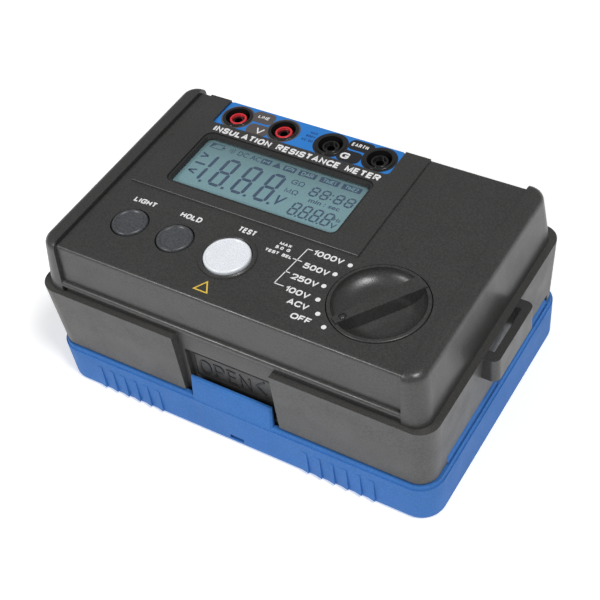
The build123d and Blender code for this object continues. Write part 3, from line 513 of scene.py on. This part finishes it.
def button_words():
    bm = bmesh.new()
    low, high = PANEL, PANEL + PRINT
    lettering(bm, "LIGHT", around(KEYS[0], -7.5, 13.1, 4.9, 16.2), 0.72, low, high)
    lettering(bm, "HOLD", around(KEYS[1], -6.5, 13.3, 5.0, 16.5), 0.72, low, high)
    lettering(bm, "TEST", around(TEST, -5.3, 16.3, 3.9, 19.5), 0.72, low, high)
    piece(bm, "button_words", WHITE_INK)


def range_words():
    """Values beside the knob, their dots, and the bracket that joins the four test voltages."""
    bm = bmesh.new()
    low, high = PANEL, PANEL + PRINT
    rows = [("1000V", 21.3, 13.1, 36.5, 16.4), ("500V", 21.4, 4.4, 34.2, 7.7), ("250V", 20.0, -3.5, 33.2, -0.2),
            ("100V", 21.2, -11.0, 33.4, -7.7), ("ACV", 25.9, -16.9, 36.3, -13.6), ("OFF", 31.5, -23.4, 41.4, -20.2)]
    for text, x_low, y_low, x_high, y_high in rows:
        lettering(bm, text, (x_low, KNOB.y + y_low, x_high, KNOB.y + y_high), 0.7, low, high)
    dot_ring = 26.2
    for angle in STOPS:
        turn = math.radians(angle)
        spot = (KNOB.x + dot_ring * math.cos(turn), KNOB.y + dot_ring * math.sin(turn))
        slab(bm, circle(*spot, 1.15, 32), low, high)
    line = 0.45
    foot, head = (15.2, KNOB.y - 8.9), (18.0, KNOB.y + 15.4)
    stroke(bm, foot, head, line, low, high)
    for y, reach in ((15.3, 20.5), (7.4, 19.7), (-0.8, 18.4), (-8.8, 20.0)):
        share = (y + 8.9) / 24.3
        stroke(bm, (foot[0] + share * 2.8 - line / 2, KNOB.y + y), (reach, KNOB.y + y), line, low, high)
    stroke(bm, (14.9, KNOB.y + 7.4), (17.0, KNOB.y + 7.4), line, low, high)
    for text, x_low, y_low, x_high, y_high in (("MAX", 4.6, 12.5, 10.8, 14.3), ("5.0 G", 3.9, 9.9, 11.4, 11.7),
                                               ("TEST SEL", 0.4, 6.5, 14.4, 8.3)):
        lettering(bm, text, (x_low, KNOB.y + y_low, x_high, KNOB.y + y_high), 0.48, low, high)
    piece(bm, "range_words", WHITE_INK)


def heading():
    bm = bmesh.new()
    lettering(bm, "INSULATION RESISTANCE METER", around(DISPLAY, -45.4, 20.4, 47.1, 24.4), 0.95, PLATEAU,
              PLATEAU + PRINT, 0.5)
    piece(bm, "heading_words", WHITE_INK)


def plain_triangle():
    """A plain yellow outline in front of the test button."""
    bm = bmesh.new()
    corners = [(-15.9, -57.1), (-7.9, -57.1), (-11.9, -50.4)]
    middle = (sum(x for x, y in corners) / 3, sum(y for x, y in corners) / 3)
    inner = [(middle[0] + (x - middle[0]) * 0.72, middle[1] + (y - middle[1]) * 0.72) for x, y in corners]
    frame_slab(bm, corners, inner, PANEL, PANEL + PRINT)
    piece(bm, "plain_triangle", YELLOW_INK)


# ---------------------------------------------------------------- printing on the socket label
def label_tags():
    line, volt, guard, earth = SOCKETS
    low, high = LABEL_TOP, LABEL_TOP + PRINT
    grey = bmesh.new()
    for socket in (line, volt):
        frame_slab(grey, circle(socket.x, socket.y, 8.5), circle(socket.x, socket.y, 7.2), low, high)
    slab(grey, rounded(line.x + 6.2, line.y + 0.3, line.x + 18.6, line.y + 8.4, 3.0), low - 0.02, high - 0.02)
    slab(grey, rounded(volt.x - 18.2, volt.y - 8.5, volt.x - 6.2, volt.y - 0.8, 3.0), low - 0.02, high - 0.02)
    piece(grey, "grey_tags", TAG_GREY)
    dark = bmesh.new()
    for socket in (guard, earth):
        frame_slab(dark, circle(socket.x, socket.y, 8.8), circle(socket.x, socket.y, 7.2), low, high)
    slab(dark, rounded(guard.x + 6.2, guard.y - 7.9, guard.x + 18.4, guard.y + 0.2, 3.0), low - 0.02, high - 0.02)
    slab(dark, rounded(earth.x - 19.0, earth.y + 1.2, earth.x - 5.6, earth.y + 8.3, 3.0), low - 0.02, high - 0.02)
    piece(dark, "dark_tags", TAG_DARK)
    words = bmesh.new()
    top = high + PRINT
    lettering(words, "LINE", around(line, 9.4, 3.7, 15.6, 5.7), 0.42, high - 0.03, top, 0.8)
    lettering(words, "V", around(volt, -13.2, -7.0, -8.6, -2.8), 0.75, high - 0.03, top)
    lettering(words, "G", around(guard, 7.8, -6.2, 12.4, -2.0), 0.95, high - 0.03, top)
    lettering(words, "EARTH", around(earth, -17.4, 3.7, -8.6, 6.1), 0.5, high - 0.03, top, 0.8)
    piece(words, "tag_words", WHITE_INK)
    small = bmesh.new()
    lettering(small, "MAX", around(guard, -13.6, 3.6, -9.8, 5.2), 0.32, low, high, 0.8)
    lettering(small, "600V", around(guard, -14.6, 0.8, -9.4, 2.4), 0.32, low, high, 0.8)
    lettering(small, "AC DC", around(guard, -15.6, -2.2, -9.2, -0.6), 0.32, low, high, 0.8)
    piece(small, "small_words", TAG_BLUE)


# ---------------------------------------------------------------- display segments
def leaning(points, base_y, lean):
    return [(x + (y - base_y) * lean, y) for x, y in points]


def bar_outline(start, end, width):
    """A segment: a bar with pointed ends."""
    (x0, y0), (x1, y1) = start, end
    half = width / 2
    if abs(x1 - x0) > abs(y1 - y0):
        return [(x0, y0), (x0 + half, y0 - half), (x1 - half, y0 - half), (x1, y0), (x1 - half, y0 + half),
                (x0 + half, y0 + half)]
    return [(x0, y0), (x0 + half, y0 + half), (x0 + half, y1 - half), (x0, y1), (x0 - half, y1 - half),
            (x0 - half, y0 + half)]


def digit(bm, x, y, width, height, thick, lean, low, high, segments="abcdefg"):
    """A seven-segment digit with its lower left corner at (x, y)."""
    gap = thick * 0.12
    left, right = x + thick / 2, x + width - thick / 2
    foot, middle, head = y + thick / 2, y + height / 2, y + height - thick / 2
    ends = {
        "a": ((left + gap, head), (right - gap, head)), "b": ((right, middle + gap), (right, head - gap)),
        "c": ((right, foot + gap), (right, middle - gap)), "d": ((left + gap, foot), (right - gap, foot)),
        "e": ((left, foot + gap), (left, middle - gap)), "f": ((left, middle + gap), (left, head - gap)),
        "g": ((left + gap, middle), (right - gap, middle)),
    }
    for name in segments:
        slab(bm, leaning(bar_outline(*ends[name], thick), y, lean), low, high)


def dot(bm, x, y, size, low, high):
    slab(bm, [(x, y), (x + size, y), (x + size, y + size), (x, y + size)], low, high)


# left and right ends of the dark boxes in the icon row, from the middle of the display
BOXES = [(-13.1, -7.8), (-0.6, 6.1), (7.9, 17.4), (19.5, 29.7), (31.5, 41.6)]


def icon_row(bm, low, high):
    """Battery, sound waves and function marks along the top of the display."""
    cx, cy = DISPLAY.x, DISPLAY.y
    outer = [(cx - 42.4, cy + 12.4), (cx - 35.4, cy + 12.4), (cx - 35.4, cy + 16.0), (cx - 42.4, cy + 16.0)]
    inner = [(cx - 42.0, cy + 12.8), (cx - 35.8, cy + 12.8), (cx - 35.8, cy + 15.6), (cx - 42.0, cy + 15.6)]
    frame_slab(bm, outer, inner, low, high)
    dot(bm, cx - 35.4, cy + 13.6, 1.1, low, high)
    slab(bm, [(cx - 42.0, cy + 12.8), (cx - 39.4, cy + 15.6), (cx - 42.0, cy + 15.6)], low, high)
    for i, radius in enumerate((0.9, 1.7, 2.5)):
        arc = [(math.radians(a), radius) for a in range(-50, 51, 20)]
        outside = [(cx - 32.0 + i * 0.3 + (r + 0.18) * math.cos(a), cy + 14.2 + (r + 0.18) * math.sin(a))
                   for a, r in arc]
        inside = [(cx - 32.0 + i * 0.3 + (r - 0.18) * math.cos(a), cy + 14.2 + (r - 0.18) * math.sin(a))
                  for a, r in reversed(arc)]
        slab(bm, outside + inside, low, high)
    word(bm, "DC", (cx - 26.6, cy + 12.6, cx - 21.0, cy + 15.8), low, high, 0.012)
    word(bm, "AC", (cx - 19.4, cy + 12.6, cx - 13.9, cy + 15.8), low, high, 0.012)
    slab(bm, [(cx - 6.6, cy + 12.5), (cx - 1.9, cy + 12.5), (cx - 4.2, cy + 16.2)], low, high)
    for x_low, x_high in BOXES:
        slab(bm, rounded(cx + x_low, cy + 12.3, cx + x_high, cy + 15.9, 0.4, 3), low, high)


def display_segments():
    bm = bmesh.new()
    cx, cy = DISPLAY.x, DISPLAY.y
    low, high = GLASS_TOP, GLASS_TOP + 0.03
    icon_row(bm, low, high)
    # arrows and bar at the left edge
    for tip, back, y in ((-38.9, -42.6, 6.3), (-42.6, -38.6, -5.6)):
        stroke(bm, (cx + back, cy + y + 1.5), (cx + tip, cy + y), 0.95, low, high)
        stroke(bm, (cx + back, cy + y - 1.5), (cx + tip, cy + y), 0.95, low, high)
    dash = [(cx - 42.6, cy - 0.3), (cx - 37.0, cy - 0.3), (cx - 37.0, cy + 0.9), (cx - 42.6, cy + 0.9)]
    slab(bm, dash, low, high)
    # four large figures
    foot, tall, wide, thick, lean = cy - 11.0, 20.2, 7.8, 1.75, 0.055
    digit(bm, cx - 41.9, foot, wide, tall, thick, lean, low, high, "bc")
    for x in (-29.3, -16.6, -3.9):
        digit(bm, cx + x, foot, wide, tall, thick, lean, low, high)
    for x in (-33.6, -20.8, -8.2, 4.7):
        dot(bm, cx + x, foot - 0.2, 1.5, low, high)
    # units
    for letter, y in (("G", cy + 5.7), ("M", cy - 0.6)):
        lettering(bm, letter, (cx + 8.0, y, cx + 11.2, y + 3.2), 0.5, low, high)
        word(bm, "Ω", (cx + 11.8, y, cx + 15.0, y + 3.2), low, high, 0.012)
    word(bm, "V", (cx + 7.2, cy - 10.0, cx + 12.4, cy - 3.4), low, high, 0.02, 0.2)
    # clock figures
    for x in (19.3, 25.0, 32.4, 38.1):
        digit(bm, cx + x, cy + 1.9, 4.4, 6.6, 0.95, 0.08, low, high)
    for y in (3.3, 6.0):
        dot(bm, cx + 30.5, cy + y, 0.9, low, high)
    word(bm, "min : sec", (cx + 22.0, cy - 1.9, cx + 38.4, cy + 0.7), low, high, 0.02)
    # small figures
    for x in (16.4, 22.2, 28.0, 33.8):
        digit(bm, cx + x, cy - 13.0, 4.5, 8.9, 1.0, 0.08, low, high)
    for x in (21.2, 27.0, 32.8):
        dot(bm, cx + x, cy - 13.1, 0.9, low, high)
    word(bm, "Hz", (cx + 39.0, cy - 8.2, cx + 42.6, cy - 5.9), low, high, 0.012)
    word(bm, "V", (cx + 39.2, cy - 12.9, cx + 42.4, cy - 9.6), low, high, 0.012)
    piece(bm, "display_segments", SEGMENT_INK)
    gaps = bmesh.new()
    for (x_low, x_high), text in zip(BOXES, ("H", "PI", "DAR", "TIME1", "TIME2")):
        margin = (x_high - x_low) * 0.14 + 0.2
        inside = (cx + x_low + margin, cy + 12.9, cx + x_high - margin, cy + 15.3)
        lettering(gaps, text, inside, 0.4, high, high + 0.02)
    piece(gaps, "display_gaps", SEGMENT_GAP)


# ---------------------------------------------------------------- the word in the latch pocket
def pocket_word():
    """A raised word with an arrow and a frame line on the wall behind the tab, coloured near black as painted shade
    for engraved lines.
    """
    bm = bmesh.new()
    low, high = 0.0, 0.35
    lettering(bm, "OPEN", (-18.6, 37.2, 9.6, 46.4), 1.0, low, high, 1.6)
    for y in (47.6, 38.6):
        stroke(bm, (17.4, y), (12.6, 43.1), 1.0, low, high)
    stroke(bm, (-20.9, 49.4), (-20.9, 34.6), 0.7, low, high)
    stroke(bm, (-20.9, 34.9), (20.5, 34.9), 0.7, low, high)
    stroke(bm, (-20.9, 49.4), (20.5, 49.4), 0.7, low, high)
    upright = Matrix.Translation((0, POCKET_WALL_Y * MM, 0)) @ Matrix.Rotation(math.pi / 2, 4, "X")
    bmesh.ops.transform(bm, matrix=upright, verts=bm.verts)
    piece(bm, "pocket_word", WORD_PAINTED_SHADE)


button_words()
range_words()
heading()
plain_triangle()
label_tags()
display_segments()
pocket_word()


# ---------------------------------------------------------------- floor, lights and camera
def floor():
    bm = bmesh.new()
    slab(bm, rounded(-6000, -6000, 6000, 6000, 500), -20, 0)
    mesh = bpy.data.meshes.new("floor")
    bm.to_mesh(mesh)
    bm.free()
    made = bpy.data.objects.new("floor", mesh)
    scene.collection.objects.link(made)
    material, tree, shader, coordinates = new_material("floor_pale")
    patches = spread(tree, noise(tree, coordinates, 0.5, 2), 0, 1)
    tree.links.new(tinted(tree, patches, (0.90, 0.90, 0.90), (0.93, 0.93, 0.93)), shader.inputs["Base Color"])
    shader.inputs["Roughness"].default_value = 0.9
    shader.inputs["Specular IOR Level"].default_value = 0.1
    shader.inputs["Emission Color"].default_value = (1, 1, 1, 1)
    shader.inputs["Emission Strength"].default_value = 0.35
    mesh.materials.append(material)


def softbox(name, direction, distance, size, power):
    """A square area light that looks at the object from a direction."""
    lamp = bpy.data.lights.new(name, "AREA")
    lamp.shape = "SQUARE"
    lamp.size = size
    lamp.energy = power
    made = bpy.data.objects.new(name, lamp)
    scene.collection.objects.link(made)
    away = Vector(direction).normalized()
    made.location = away * distance + Vector((0, 0, 0.05))
    made.rotation_euler = away.to_track_quat("Z", "Y").to_euler()


def studio():
    world = bpy.data.worlds.new("studio")
    world.use_nodes = True
    backdrop = world.node_tree.nodes["Background"]
    backdrop.inputs["Color"].default_value = (1, 1, 1, 1)
    backdrop.inputs["Strength"].default_value = 0.30
    scene.world = world
    softbox("key_front_left", (-0.42, -0.70, 0.60), 1.6, 0.25, 8)
    softbox("fill_right", (0.9, -0.3, 0.3), 1.8, 0.5, 0.4)
    softbox("top_soft", (0.45, -0.15, 0.88), 1.8, 0.4, 18)
    scene.view_settings.view_transform = "Standard"


def camera():
    data = bpy.data.cameras.new("camera")
    data.lens = 77.94
    data.sensor_width = 36.0
    data.clip_start, data.clip_end = 0.01, 50.0
    made = bpy.data.objects.new("camera", data)
    scene.collection.objects.link(made)
    right, up = Vector((0.8529, 0.5108, -0.1078)), Vector((-0.3100, 0.6618, 0.6826))
    turn = Matrix((right, up, right.cross(up))).transposed()
    made.matrix_world = Matrix.Translation((0.2631, -0.3467, 0.4902)) @ turn.to_4x4()
    scene.camera = made


floor()
studio()
camera()
